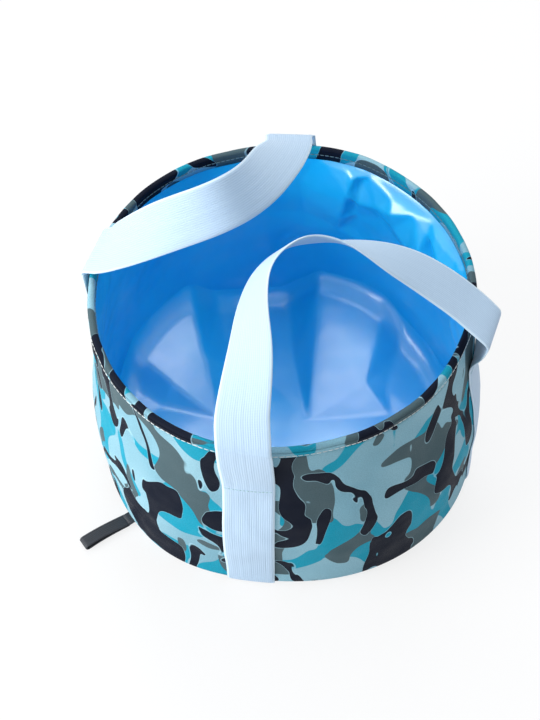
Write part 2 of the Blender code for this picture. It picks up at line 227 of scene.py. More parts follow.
def grid_object(name, points, uvs, finish, faces):
    """A grid of points as a mesh. Where it closes on itself, faces and uvs go one past its end."""
    rows, columns = points.shape[:2]
    corners = [[uvs[place] for place in face] for face in faces]
    faces = [[row % rows * columns + column % columns for row, column in face] for face in faces]
    return mesh_object(name, points.reshape(-1, 3), faces, corners, finish)


def surface(name, points, uvs, finish, wrap=False, flip=False):
    """A grid of points as one open surface, which may close on itself sideways."""
    rows, columns = points.shape[:2]
    faces = cells(rows - 1, columns if wrap else columns - 1)
    if flip:
        faces = [face[::-1] for face in faces]
    return grid_object(name, points, uvs, finish, faces)


def tube(name, sections, uvs, finish, ring=False, caps=(True, True)):
    """Closed sections, each joined to the next, as a ring or as a strip with caps."""
    rows, columns = sections.shape[:2]
    faces = cells(rows, columns) if ring else capped_cells(rows, columns, caps)
    return grid_object(name, sections, uvs, finish, faces)


def solid(piece, thickness):
    """Gives a surface its thickness, behind its face."""
    made = piece.modifiers.new("thickness", "SOLIDIFY")
    made.thickness = thickness
    made.offset = -1.0
    made.use_quality_normals = True


def squash(piece):
    """Gives a piece its own copy of its mesh."""
    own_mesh(piece)


# Materials
def connect(tree, target, values):
    """Links sockets to other nodes' outputs, or sets them to plain values."""
    for key, value in values.items():
        if isinstance(value, bpy.types.NodeSocket):
            tree.links.new(value, target.inputs[key])
        else:
            target.inputs[key].default_value = value


def node(tree, kind, values=None, **settings):
    made = tree.nodes.new(kind)
    for key, value in settings.items():
        setattr(made, key, value)
    connect(tree, made, values or {})
    return made


def number(tree, operation, *values):
    made = node(tree, "ShaderNodeMath", dict(enumerate(values)), operation=operation)
    return made.outputs[0]


def wave(tree, value, pitch):
    return number(tree, "SINE", number(tree, "MULTIPLY", value, 2 * math.pi / pitch))


def blend_colour(tree, share, first, second, mode="MIX"):
    """Two colours mixed. The Mix node's colours are its inputs 6 and 7, and its output 2."""
    made = node(tree, "ShaderNodeMix", {0: share, 6: first, 7: second}, data_type="RGBA",
                blend_type=mode)
    return made.outputs[2]


def scaled_colour(tree, shade, value):
    grey = node(tree, "ShaderNodeCombineColor", {"Red": value, "Green": value, "Blue": value})
    return blend_colour(tree, 1.0, shade, grey.outputs[0], "MULTIPLY")


def step_range(tree, value, low, high, low_out=0.0, high_out=1.0):
    made = node(tree, "ShaderNodeMapRange", {"Value": value, "From Min": low, "From Max": high,
                                             "To Min": low_out, "To Max": high_out},
                interpolation_type="SMOOTHSTEP")
    return made.outputs["Result"]


def uneven(tree, noise_value, low_out=0.0, high_out=1.0):
    """Noise, whose values lie mostly between 0.3 and 0.7, spread over a range."""
    return step_range(tree, noise_value, 0.3, 0.7, low_out, high_out)


def new_material(name):
    made = bpy.data.materials.new(name)
    made.use_nodes = True
    tree = made.node_tree
    shader = tree.nodes["Principled BSDF"]
    return made, tree, shader


def colour(red, green, blue):
    """A colour as written on a screen, turned into the linear values that shaders take."""
    shares = [value / 255 for value in (red, green, blue)]
    return (*[share / 12.92 if share <= 0.04045 else ((share + 0.055) / 1.055) ** 2.4
              for share in shares], 1.0)


def cloth_coords(tree):
    return node(tree, "ShaderNodeUVMap", uv_map="cloth").outputs["UV"]


def cloth_noise(tree, coords, scale, detail=2.0, roughness=0.5, distortion=0.0):
    made = node(tree, "ShaderNodeTexNoise", {"Vector": coords, "Scale": scale, "Detail": detail,
                                             "Roughness": roughness, "Distortion": distortion},
                noise_dimensions="2D")
    return made.outputs[0]


def long_noise(tree, coords, across, along):
    """Noise with its own scale across and along the webbing."""
    placed = node(tree, "ShaderNodeMapping", {"Vector": coords, "Scale": (across, along, 1.0)})
    return cloth_noise(tree, placed.outputs[0], 1.0)


def weave(tree, coords, pitch):
    """Plain weave: two sets of threads that pass over each other, as a height."""
    parts = node(tree, "ShaderNodeSeparateXYZ", {"Vector": coords})
    return number(tree, "MULTIPLY", wave(tree, parts.outputs[0], pitch),
                  wave(tree, parts.outputs[1], pitch))


def bump(tree, height, distance, strength=1.0, below=None):
    values = {"Height": height, "Distance": distance, "Strength": strength}
    if below is not None:
        values["Normal"] = below
    return node(tree, "ShaderNodeBump", values).outputs["Normal"]


def patches(tree, coords, scale, stretch, turn, shift, level, bend=0.55, detail=1.0,
            roughness=0.35):
    """Rounded patches of the print, from bent noise cut at a level, and the line round them."""
    soft = 0.004
    line_start, line_end = level - soft * 3.5, level - soft * 1.5
    placed = node(tree, "ShaderNodeMapping", {
        "Vector": coords, "Location": (*shift, 0), "Rotation": (0, 0, math.radians(turn)),
        "Scale": (scale, scale * stretch, 1)})
    height = cloth_noise(tree, placed.outputs[0], 1.0, detail, roughness, bend)
    inside = step_range(tree, height, level - soft, level + soft)
    near = step_range(tree, height, line_start, line_end)
    return inside, number(tree, "SUBTRACT", near, inside)


# Colours of the print and the liner
GROUND_DEEP = colour(128, 174, 190)
GROUND_PALE = colour(146, 189, 203)
TURQUOISE = colour(28, 152, 178)
GREY = colour(76, 96, 102)
PRINT_LINE = colour(170, 212, 226)
NAVY = colour(18, 24, 38)
LINER_DEEP = colour(8, 182, 242)
LINER_PALE = colour(22, 192, 246)
THREAD_PITCH = 0.0009


def camo_material(name, shift):
    """Printed polyester: pale blue-grey ground, turquoise, grey and near-black patches."""
    made, tree, shader = new_material(name)
    coords = cloth_coords(tree)
    east, north = shift
    cloud = step_range(tree, cloth_noise(tree, coords, 9.0), 0.35, 0.65)
    ground = blend_colour(tree, cloud, GROUND_DEEP, GROUND_PALE)
    turquoise, _ = patches(tree, coords, scale=23, stretch=0.75, turn=35,
                           shift=(2.1 + east, 7.7 + north), level=0.55)
    grey, _ = patches(tree, coords, scale=25, stretch=0.8, turn=-28,
                      shift=(11.3 + east, 3.9 + north), level=0.56)
    navy, navy_line = patches(tree, coords, scale=29, stretch=0.62, turn=-42,
                              shift=(5.2 + east, 1.4 + north), level=0.56,
                              bend=0.85, detail=1.5, roughness=0.4)
    shade = blend_colour(tree, turquoise, ground, TURQUOISE)
    shade = blend_colour(tree, grey, shade, GREY)
    shade = blend_colour(tree, number(tree, "MULTIPLY", navy_line, 0.55), shade, PRINT_LINE)
    shade = blend_colour(tree, navy, shade, NAVY)
    speck = uneven(tree, cloth_noise(tree, coords, 900.0, 1.0), 0.93, 1.05)
    wrinkles = bump(tree, cloth_noise(tree, coords, 26.0), distance=0.0035, strength=0.55)
    threads = bump(tree, weave(tree, coords, THREAD_PITCH), distance=0.00006, strength=0.7,
                   below=wrinkles)
    connect(tree, shader, {
        "Base Color": scaled_colour(tree, shade, speck),
        "Roughness": uneven(tree, cloth_noise(tree, coords, 40.0), 0.50, 0.66),
        "Specular IOR Level": 0.06, "Normal": threads})
    return made


def liner_material():
    """Glossy blue coated sheet, with a faint grain and soft creases."""
    made, tree, shader = new_material("liner_blue_sheet")
    coords = cloth_coords(tree)
    cloud = uneven(tree, cloth_noise(tree, coords, 14.0, 3.0))
    creases = bump(tree, cloth_noise(tree, coords, 16.0), distance=0.003, strength=0.4)
    grain = bump(tree, cloth_noise(tree, coords, 1400.0, 1.0), distance=0.00003, strength=0.4,
                 below=creases)
    connect(tree, shader, {
        "Base Color": blend_colour(tree, cloud, LINER_DEEP, LINER_PALE),
        "Roughness": uneven(tree, cloth_noise(tree, coords, 60.0), 0.34, 0.46),
        "Specular IOR Level": 0.7, "Coat Weight": 1.0, "Coat IOR": 1.7, "Coat Roughness": 0.26,
        "Normal": grain, "Coat Normal": creases})
    return made


def webbing_material(name, shaded_valley, ridge, selvedge, half_width, rib_pitch, plain_edge):
    """Webbing with ribs along its length, their valleys painted darker as shade, and a plain woven
    edge on both sides.
    """
    edge_blur = 0.0004
    pick_pitch = 0.0011
    made, tree, shader = new_material(name)
    coords = cloth_coords(tree)
    parts = node(tree, "ShaderNodeSeparateXYZ", {"Vector": coords})
    across, along = parts.outputs[0], parts.outputs[1]
    edge_start = half_width - plain_edge
    edge = step_range(tree, number(tree, "ABSOLUTE", across), edge_start - edge_blur,
                      edge_start + edge_blur)
    rib = number(tree, "MULTIPLY", step_range(tree, wave(tree, across, rib_pitch), -0.9, 0.7),
                 number(tree, "SUBTRACT", 1.0, edge))
    streaks = uneven(tree, long_noise(tree, coords, 900.0, 14.0))
    # Painted shade: the rib valleys take the darker colour and the rib tops the lighter one.
    shade = blend_colour(tree, rib, shaded_valley, ridge)
    shade = blend_colour(tree, number(tree, "MULTIPLY", streaks, 0.25), shade, shaded_valley)
    shade = blend_colour(tree, edge, shade, selvedge)
    picks = number(tree, "MULTIPLY", wave(tree, along, pick_pitch), 0.16)
    height = number(tree, "ADD", rib, picks)
    height = number(tree, "ADD", height, number(tree, "MULTIPLY", edge, 0.7))
    slack = bump(tree, long_noise(tree, coords, 230.0, 6.0), distance=0.0006, strength=0.5)
    connect(tree, shader, {
        "Base Color": shade, "Roughness": 0.62, "Specular IOR Level": 0.35,
        "Sheen Weight": 0.10, "Sheen Roughness": 0.35,
        "Normal": bump(tree, height, distance=0.00013, strength=0.7, below=slack)})
    return made


def plain_material(name, shade, roughness, grain, grain_scale):
    """A plain material with a slightly uneven colour and a fine grain."""
    made, tree, shader = new_material(name)
    place = node(tree, "ShaderNodeTexCoord").outputs["Object"]
    cloud, fine = [node(tree, "ShaderNodeTexNoise",
                        {"Vector": place, "Scale": scale, "Detail": detail}).outputs[0]
                   for scale, detail in ((60.0, 3.0), (grain_scale, 1.0))]
    connect(tree, shader, {
        "Base Color": scaled_colour(tree, shade, uneven(tree, cloud, 0.92, 1.08)),
        "Roughness": uneven(tree, cloud, roughness - 0.06, roughness + 0.06),
        "Normal": bump(tree, fine, grain, 0.8)})
    return made


CAMO = camo_material("shell_camo_cloth", (0.0, 0.0))
HEM_CAMO = camo_material("hem_camo_cloth", (4.6, 9.3))
BASE_CAMO = camo_material("base_camo_cloth", (8.2, 2.7))
LINER = liner_material()
# Each webbing's valley and ridge colours paint shade into its rib valleys.
WEBBING = webbing_material(
    "white_blue_webbing", shaded_valley=colour(180, 205, 228), ridge=colour(191, 214, 235),
    selvedge=colour(208, 229, 244), half_width=STRAP_WIDTH / 2, rib_pitch=0.0016,
    plain_edge=0.0014)
GREY_WEBBING = webbing_material(
    "grey_webbing", shaded_valley=colour(38, 40, 46), ridge=colour(62, 66, 72),
    selvedge=colour(54, 57, 63), half_width=0.0053, rib_pitch=0.0015, plain_edge=0.0012)
# Plain finishes: colour, roughness, depth and scale of the grain
THREAD, SHADED_THREAD, TACK_THREAD, FOAM, CORD, BOARD, TAPE = [
    plain_material(name, colour(*shade), roughness, grain, grain_scale)
    for name, shade, roughness, grain, grain_scale in (
        ("white_thread", (226, 232, 230), 0.6, 0.00015, 2500.0),
        # painted shade: a darker blue-grey copy of the white thread, for the inside row in the
        # hem's shade
        ("shaded_inner_thread", (96, 128, 142), 0.7, 0.00015, 2500.0),
        ("tack_thread", (176, 208, 216), 0.6, 0.00015, 2500.0),
        ("wall_foam_sheet", (222, 226, 228), 0.9, 0.0003, 900.0),
        ("rim_cord_plastic", (226, 228, 228), 0.45, 0.0001, 700.0),
        ("base_stiffener_board", (92, 94, 96), 0.85, 0.0002, 500.0),
        ("base_binding_tape", (36, 40, 48), 0.8, 0.0002, 900.0))]


# Stitching
# A stitch along its length: shares of its half length, and of its full width and height there
STITCH_SHARES = ((-1.0, 0.25), (-0.72, 0.8), (0.0, 1.0), (0.72, 0.8), (1.0, 0.25))
STITCH_SIDES = 6


def stitches(name, path, finish, length=0.0030, pitch=0.0042, width=0.0008, height=0.0006):
    """A row of thread stitches. path(distance) gives a point, the row's direction and the
    cloth's normal there, or None past its end."""
    stitch = capped_cells(len(STITCH_SHARES), STITCH_SIDES)
    points, faces = [], []
    distance = pitch / 2
    found = path(distance)
    while found is not None:
        centre, along, normal = found
        side = np.cross(normal, along)
        start = len(points)
        faces += [[start + row * STITCH_SIDES + column % STITCH_SIDES for row, column in face]
                  for face in stitch]
        for end, swell in STITCH_SHARES:
            for corner in range(STITCH_SIDES):
                turn = 2 * math.pi * corner / STITCH_SIDES
                points.append(centre + along * end * length / 2
                              + side * math.cos(turn) * width / 2 * swell
                              + normal * math.sin(turn) * height * swell)
        distance += pitch
        found = path(distance)
    uvs = [[(0.0, 0.0)] * len(face) for face in faces]
    return mesh_object(name, points, faces, uvs, finish)


# Liner folds
# Folds of the loose liner: degrees, height and depth in millimetres
FOLDS = (
    (66, 187, 5), (66, 179, 10), (67.5, 159, 13), (68.4, 149, 13), (70, 128, 11), (71, 108, 7),
    (72, 60, 2), (63.5, 185, 1), (64.3, 172, 2), (65.8, 148, 2.5), (66.8, 136, 3), (68.4, 116, 3),
    (79, 184, 1), (80, 150, 4), (82, 100, 3), (61.5, 178, 4), (51, 176, 10), (43, 179, 7),
    (33.5, 187, 1.5), (64, 150, 8), (56.5, 158, 12), (48.8, 166, 17), (40.5, 176, 10),
    (33.5, 183, 3), (48, 149, 13), (40.5, 137, 13), (32.6, 150, 15), (32.6, 168, 9),
    (64.5, 133, 2.5), (54, 142, 4), (51.5, 130, 3), (45.5, 119, 3), (40, 112, 3), (30.6, 187, 1),
    (31.4, 160, 2), (34, 131, 3), (29.4, 178, 8), (26.8, 168, 13), (22, 164, 16), (13, 172, 9),
    (19, 187, 1), (27, 134, 4), (20, 138, 6), (26, 108, 6), (18, 118, 9), (8, 110, 12),
    (2, 150, 7), (-6, 148, 4), (24, 88, 2), (8, 84, 2), (42, 88, 2), (56, 92, 2), (30, 52, 2),
    (8, 48, 2), (52, 46, 1),
)
# The start of noise_vector's draws, which would otherwise differ from run to run
FOLD_SEED = 1795878032


def fold_points():
    """The listed folds, shallow random ones elsewhere, and the wall's quiet top and foot,
    all repeated a turn before and after."""
    noise.seed_set(FOLD_SEED)
    points = list(FOLDS)
    for step, angle in enumerate(range(84, 344, 13)):
        for row in range(4):
            shake = noise.noise_vector(Vector((step * 3.7, row * 5.3, 1.9)))
            deep = 0.4 + 2.6 * (0.5 + 0.5 * noise.cell(Vector((step + 0.5, row + 0.5, 3.5))))
            points.append((angle + 6 * shake.x, 38 + 40 * row + 14 * shake.y, deep))
    for angle in range(-20, 340, 15):
        points += [(angle, 190, 0.8), (angle + 5, 6, 0.0)]
    wrapped = [(angle + turn, height, depth) for angle, height, depth in points
               for turn in (-360, 0, 360)]
    return [point for point in wrapped if -60 < point[0] < 400]


def beside(start, end, across, up):
    """Twice the area of the triangle between two points and a third place."""
    return (start.y - end.y) * (across - end.x) + (end.x - start.x) * (up - end.y)


def flat_facets(points, across, up):
    """Values of the points (across, up, value) between them: flat facets that meet in folds."""
    slack = 1e-6
    found = geometry.delaunay_2d_cdt([Vector(point[:2]) for point in points], [], [], 0, 1e-7)
    places, triangles, sources = found[0], found[2], found[3]
    values = [points[source[0]][2] for source in sources]
    filled = np.zeros_like(across)
    for corners in triangles:
        first, second, third = [places[corner] for corner in corners]
        area = beside(second, third, first.x, first.y)
        if abs(area) < 1e-12:
            continue
        one = beside(second, third, across, up) / area
        two = -beside(first, third, across, up) / area
        inside = (one >= -slack) & (two >= -slack) & (one + two <= 1 + slack)
        levels = [values[corner] for corner in corners]
        mixed = levels[0] * one + levels[1] * two + levels[2] * (1 - one - two)
        filled[inside] = mixed[inside]
    return filled


def fold_depths(columns, heights):
    """How deep the liner hangs inwards at each place of the wall, little just below the hem."""
    points = [(math.radians(angle) * BASE_RADIUS, height / 1000, depth / 1000)
              for angle, height, depth in fold_points()]
    arc = np.arange(columns) / columns * 2 * math.pi * BASE_RADIUS
    depths = flat_facets(points, *np.meshgrid(arc, np.array(heights)))
    under_hem = HEIGHT - HEM_INNER - 0.0005
    most = 0.0008 + 1.3 * np.maximum(under_hem - np.array(heights), 0)
    return soften(np.minimum(depths, most[:, None]))


# Walls
FOOT_HEIGHTS = (0.0006, 0.0014, 0.003, 0.005, 0.0075, 0.0098)
FOOT_STRETCH_SHARE = 0.5
FOAM_FOOT = 0.008
FOAM_DEPTH = 0.012
FOAM_THICKNESS = 0.0008
FOAM_GAP = 0.0004


def heights_between(low, high, steps):
    return [low + (high - low) * step / steps for step in range(steps + 1)]


def angles_round(sides):
    """Angles round the basin, the first one again at the end."""
    return [2 * math.pi * side / sides for side in range(sides + 1)]


def wall_grid(heights, radius, sides=SIDES, stretch=0.0):
    """Points round the wall, and their place on the flat cloth, stretched at the foot."""
    angles = angles_round(sides)
    points = np.array([[polar(radius(angle, height), angle, height) for angle in angles[:-1]]
                       for height in heights])
    uvs = np.array([[(RIM_RADIUS * angle, height - max(CORNER - height, 0) * stretch)
                     for angle in angles] for height in heights])
    return points, uvs


def build_shell():
    heights = [*FOOT_HEIGHTS, *heights_between(CORNER, HEIGHT - HEM_OUTER + SHELL_TUCK, 56)]
    points, uvs = wall_grid(heights, wall_radius, stretch=FOOT_STRETCH_SHARE)
    shell = surface("camo_wall", points, uvs, CAMO, wrap=True)
    solid(shell, CLOTH)
    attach(shell, "base")
    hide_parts("shell_wall")
    squash(shell)


def build_foam():
    points, uvs = wall_grid(heights_between(FOAM_FOOT, HEIGHT - FOAM_DEPTH, 24),
                            lambda angle, height: wall_radius(angle, height) - CLOTH - FOAM_GAP)
    foam = surface("padding_wall", points, uvs, FOAM, wrap=True)
    solid(foam, FOAM_THICKNESS)
    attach(foam, "base")
    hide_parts("wall_foam")
    squash(foam)


def build_liner_wall():
    def radius(angle, height):
        return wall_radius(angle, height) - padding(height) - CLOTH

    heights = heights_between(FLOOR_LEVEL + 0.0008, HEIGHT - HEM_INNER + LINER_TUCK, 110)
    points, uvs = wall_grid(heights, radius, LINER_SIDES)
    depths = fold_depths(LINER_SIDES, heights)
    reach = np.linalg.norm(points[:, :, :2], axis=2)
    points[:, :, :2] *= (1 - depths / reach)[:, :, None]
    liner = surface("liner_sheet_wall", points, uvs, LINER, wrap=True, flip=True)
    solid(liner, CLOTH)
    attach(liner, "base")
    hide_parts("liner_wall", "liner_seam_tape")
    squash(liner)


# Floor
# The liner's floor bridges the corner at the back in two flat slopes, in millimetres: where each
# starts, which way and how fast it rises, and its corners
SLOPES = (
    ((-57, 10), (-0.5, 0.866), 0.31, ((-82, 122), (-112, 96), (-135, 64), (-96, 37), (-69, 66))),
    ((22, 8), (0.2, 0.98), 0.235, ((34, 139), (64, 128), (92, 110), (84, 76), (74, 42), (28, 74))),
)
# The nearly flat floor round them: across, away and up from its middle
FLOOR_FOLDS = (
    (-30, -80, 0.5), (62, -60, 0), (-96, -52, 1), (0, -122, 1), (104, -66, 1.5), (-128, 4, 1.5),
    (94, 14, 1), (-144, 46, 9), (-106, 22, 2), (-46, 66, 3), (-62, 130, 13), (-40, 138, 5),
    (-18, 143, 4), (4, 143, 5), (-22, 60, 0), (10, 76, 3), (16, 141, 13), (110, 96, 13),
    (100, 70, 8), (92, 38, 4), (128, 66, 5), (124, 10, 2), (-20, 0, 0), (10, -40, 0),
)
CORNER_RADIUS = 0.022
FLOOR_RINGS = 90
FLOOR_SEAT = 0.0003
# A circle past the wall, where the outermost folds are repeated
FLOOR_BORDER = 0.165
# Moves the floor's own pattern away from the wall's
FLOOR_SHIFT = (1.3, 0.8)


def floor_points():
    points = [(east / 1000, north / 1000, up / 1000) for east, north, up in FLOOR_FOLDS]
    for (start_east, start_north), (right, away), rise, corners in SLOPES:
        points.append((start_east / 1000, start_north / 1000, 0.0))
        for east, north in corners:
            lift = rise * ((east - start_east) * right + (north - start_north) * away)
            points.append((east / 1000, north / 1000, lift / 1000))
    inner = list(points)
    for angle in np.arange(0, 2 * math.pi, 0.2):
        east, north, _ = polar(FLOOR_BORDER, angle)
        nearest = min(inner, key=lambda fold: (fold[0] - east) ** 2 + (fold[1] - north) ** 2)
        points.append((east, north, nearest[2]))
    return points


def build_floor():
    """The floor follows its folds, and turns up into the wall in a fillet."""
    angles = np.arange(SIDES) / SIDES * 2 * math.pi
    shares = (np.arange(FLOOR_RINGS + 1) / FLOOR_RINGS) ** 0.8
    edge = np.zeros(SIDES)
    for _ in range(2):
        reach = np.array([wall_radius(angle, FLOOR_LEVEL + up + CORNER_RADIUS) - WALL_PADDING
                          for angle, up in zip(angles, edge)]) - CLOTH + FLOOR_SEAT
        across = shares[:, None] * (reach * np.cos(angles))[None, :]
        away = shares[:, None] * (reach * np.sin(angles))[None, :]
        lift = flat_facets(floor_points(), across, away)
        edge = lift[-1]
    for _ in range(2):
        lift = soften(lift)
    lift[:2] = lift[:2].mean()
    near = np.clip(1 - (1 - shares)[:, None] * reach[None, :] / CORNER_RADIUS, 0, 1)
    lift += CORNER_RADIUS * (1 - np.sqrt(1 - near ** 2))
    points = np.stack([across, away, FLOOR_LEVEL + lift], 2)
    flat = points[:, :, :2] + FLOOR_SHIFT
    uvs = np.concatenate([flat, flat[:, :1]], 1)
    floor = surface("liner_sheet_floor", points, uvs, LINER, wrap=True)
    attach(floor, "base")
    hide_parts("liner_floor", "liner_corner_weld")
    squash(floor)


def build_base_panel():
    rings = 12
    angles = angles_round(SIDES)
    edges = [wall_radius(angle, FOOT_HEIGHTS[0]) + 0.0004 for angle in angles]
    points = []
    for ring in range(rings + 1):
        share = ring / rings
        lift = 0.0002 + 0.0004 * ease((share - 0.93) / 0.07)
        points.append([polar(edge * share, angle, lift) for angle, edge in zip(angles, edges)])
    points = np.array(points)
    panel = surface("camo_base", points[:, :-1], points[:, :, :2], BASE_CAMO, wrap=True, flip=True)
    solid(panel, 0.0004)
    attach(panel, "base")
    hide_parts("base_panel")


# Hem, cord and topstitching
# The hem's cloth outside: how far it stands out, and the share of its depth; then the same inside
HEM_FRONT = ((-0.0001, 1.0), (0.0004, 0.72), (0.0006, 0.45), (0.0004, 0.25))
HEM_BACK = ((0.0004, 0.3), (0.0003, 0.6), (0.0, 1.0))
HEM_BULGE = 0.0004
FOLD_STEPS = 8
CORD_RADIUS = 0.0012
CORD_DEPTH = 0.0026
CORD_SIDES = 8


def hem_wave(angle):
    """The hem's small ups and downs: (height, outwards)."""
    return (0.0009 * soft_noise(angle, 0.3, 0.05, 4.0), 0.0005 * soft_noise(angle, 0.9, 0.02, 7.0))


def hem_reach(angle, level, push):
    """How far out the hem's face stands at a level, where it leans with the wall."""
    lean = wall_radius(angle, min(level, HEIGHT)) - wall_radius(angle, HEIGHT)
    lowest, highest = HEM_LEAN_LIMITS
    return rim_radius(angle) + push + min(max(lean, lowest), highest) * HEM_LEAN_SHARE


def hem_section(angle):
    """Closed section of the folded hem, and its points' measure along the cloth."""
    lift, push = hem_wave(angle)
    ridge = HEM_WIDTH / 2
    path = [(out, -HEM_OUTER * share) for out, share in HEM_FRONT]
    for step in range(FOLD_STEPS + 1):
        turn = math.pi * step / FOLD_STEPS
        path.append((-ridge + ridge * math.cos(turn) + HEM_BULGE * math.cos(turn),
                     -ridge + ridge * math.sin(turn)))
    path += [(-HEM_WIDTH - back, -HEM_INNER * share) for back, share in HEM_BACK]
    outer = np.array(path)
    slopes = np.gradient(outer, axis=0)
    normals = np.stack([slopes[:, 1], -slopes[:, 0]], 1)
    normals /= np.linalg.norm(normals, axis=1)[:, None]
    inner = outer - normals * CLOTH
    measure = lengths_along(outer)
    measures = np.concatenate([measure, measure[::-1], measure[:1]])
    points = []
    for out, up in np.concatenate([outer, inner[::-1]]):
        level = HEIGHT + lift + up
        points.append(polar(hem_reach(angle, level, push) + out, angle, level))
    return points, measures


def build_hem():
    sections, uvs = [], []
    for angle in angles_round(SIDES):
        points, measures = hem_section(angle)
        sections.append(points)
        uvs.append([(RIM_RADIUS * angle, HEIGHT - HEM_OUTER + measure) for measure in measures])
    hem = tube("camo_hem", np.array(sections[:-1]), np.array(uvs), HEM_CAMO, ring=True)
    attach(hem, "rim")
    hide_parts("rim_hem")


def build_cord():
    sections = []
    turns = angles_round(CORD_SIDES)[-2::-1]
    for angle in angles_round(SIDES)[:-1]:
        lift, push = hem_wave(angle)
        reach = rim_radius(angle) + push - HEM_WIDTH / 2
        level = HEIGHT + lift - CORD_DEPTH
        sections.append([polar(reach + CORD_RADIUS * math.cos(turn), angle,
                               level + CORD_RADIUS * math.sin(turn)) for turn in turns])
    flat = np.zeros((SIDES + 1, CORD_SIDES + 1, 2))
    cord = tube("cord_in_hem", np.array(sections), flat, CORD, ring=True)
    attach(cord, "rim")
    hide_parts("rim_cord")


def outer_row(distance):
    """The hem's stitch line, seen from outside."""
    angle = distance / RIM_RADIUS
    if angle >= 2 * math.pi:
        return None
    lift, push = hem_wave(angle)
    level = HEIGHT + lift - STITCH_DEPTH
    reach = hem_reach(angle, level, push) + HEM_BULGE
    next_angle = angle + 0.01
    along = unit(polar(rim_radius(next_angle), next_angle) - polar(rim_radius(angle), angle))
    return polar(reach, angle, level), along, np.cross(along, (0, 0, 1))


def inner_row(distance):
    found = outer_row(distance)
    if found is None:
        return None
    centre, along, normal = found
    return centre - normal * (HEM_WIDTH + 0.0010), along, -normal


def build_topstitch():
    # The inside row takes the darker copy of the thread, which is painted shade.
    for name, row, finish in (("topstitch_outside", outer_row, THREAD),
                              ("topstitch_inside", inner_row, SHADED_THREAD)):
        thread = stitches(name, row, finish, length=0.0036, width=0.0006, height=0.0005)
        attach(thread, "rim")
        if name == "topstitch_outside":
            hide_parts("rim_topstitch")


# Webbing
# Its points, as shares of its half width, and its thickness there: it thins out at both edges
STRAP_SHARES = np.linspace(-1, 1, 17)
STRAP_MIDDLE = 8
STRAP_SWELLS = 1 - 0.55 * np.maximum(abs(STRAP_SHARES) - 0.9, 0) / (1 - 0.9)


def strap_section(middles, faces, thickness):
    """Closed section of webbing: outer face first, then the inner face."""
    lift = faces * (thickness / 2 * STRAP_SWELLS)[:, None]
    return np.concatenate([middles + lift, (middles - lift)[::-1]])


def strap_uvs(places, lengths):
    """The flat measure of sections that lie at some lengths."""
    around = [*places, *places[::-1], places[0]]
    return np.array([[(place, length) for place in around] for length in lengths])


def strap_rows(centres, sides, width, thickness, start_measure=0.0, folded=0.0):
    """Sections of webbing along a line of centres, with directions across it. Over the length
    folded at each end it turns from its fold line to square across."""
    last = len(centres) - 1
    places = STRAP_SHARES * width / 2
    lengths = lengths_along(centres)
    sections = []
    for row, centre in enumerate(centres):
        path = unit(centres[min(row + 1, last)] - centres[max(row - 1, 0)])
        square = 1.0
        if folded:
            square = ease(min(lengths[row], lengths[-1] - lengths[row]) / folded)
        side = unit(sides[row] - path * np.dot(sides[row], path) * square)
        face = unit(np.cross(side, path))
        sections.append(strap_section(centre + places[:, None] * side, face, thickness))
    return np.array(sections), strap_uvs(places, start_measure + lengths)


# Each leg: the angle of its sewn part, then the angle, stand-off and rise above the rim of its
# loop's root and of its own top
LEGS = {
    "front_first": (-100.0, (-100.0, 0.012, 0.014), (-100.0, 0.012, 0.014)),
    "front_second": (-12.5, (-15.0, 0.010, 0.014), (-20.3, 0.0175, 0.009)),
    "back_first": (85.0, (85.0, 0.007, 0.011), (87.5, 0.002, 0.007)),
    "back_second": (170.0, (170.0, 0.006, 0.011), (171.5, -0.001, 0.009)),
}
# Where a leg's top is turned out of the level, its direction across the webbing
TURNED_TOPS = {"back_second": (-0.46, -0.70, -0.54)}
LEG_FOOT = 0.0030
LEG_SEAT = STRAP_THICKNESS / 2 + 0.0003
OVER_HEM = 0.0012


def rim_point(degrees, stand_off, rise):
    angle = math.radians(degrees)
    return polar(rim_radius(angle) + stand_off, angle, HEIGHT + rise)


def top_side(name):
    if name in TURNED_TOPS:
        return unit(np.array(TURNED_TOPS[name]))
    return tangent(math.radians(LEGS[name][2][0]))


def build_leg(name):
    """A leg lies curved on the wall up to its cross seam, then comes free and straight. Gives
    its length, where the loop's measure goes on."""
    tack_degrees, _, (top_degrees, stand_off, rise) = LEGS[name]
    angle, top_angle = math.radians(tack_degrees), math.radians(top_degrees)
    top_point, top_across = rim_point(top_degrees, stand_off, rise), top_side(name)
    top = HEIGHT + rise
    places = STRAP_SHARES * STRAP_WIDTH / 2
    sewn, loose = np.linspace(LEG_FOOT, TACK_LEVEL, 40), np.linspace(TACK_LEVEL, top, 22)
    sections = []
    for level in [*sewn, *loose[1:]]:
        share = max(level - TACK_LEVEL, 0) / (top - TACK_LEVEL)
        free = ease(share)
        drop = max(CORNER - level, 0) / CORNER
        lift = (LEG_SEAT / math.sqrt(1 - drop ** 2) + OVER_HEM * ease(share * 2)
                + max(stand_off - LEG_SEAT - OVER_HEM, 0) * free)
        held = min(level, HEIGHT)
        middle_angle = angle + (top_angle - angle) * free
        level_across = tangent(middle_angle) * (1 - free) + top_across * free
        straight = polar(wall_radius(middle_angle, held) + lift, middle_angle, level)
        straight = straight * (1 - free) + top_point * free
        middles, faces = [], []
        for place in places:
            turned = middle_angle + place / BASE_RADIUS
            curved = polar(wall_radius(turned, held) + lift, turned, level)
            middles.append(curved * (1 - free) + (straight + level_across * place) * free)
            faces.append(unit(polar(1, turned) * (1 - free)
                              + np.cross(top_across, (0, 0, 1)) * free))
        sections.append(strap_section(np.array(middles), np.array(faces), STRAP_THICKNESS))
    sections = np.array(sections)
    centres = (sections[:, STRAP_MIDDLE] + sections[:, -1 - STRAP_MIDDLE]) / 2
    lengths = lengths_along(centres)
    leg = tube(f"webbing_leg_{name}", sections, strap_uvs(places, lengths), WEBBING)
    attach(leg, "base")
    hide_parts(f"strap_leg_{name}")
    squash(leg)
    return lengths[-1]


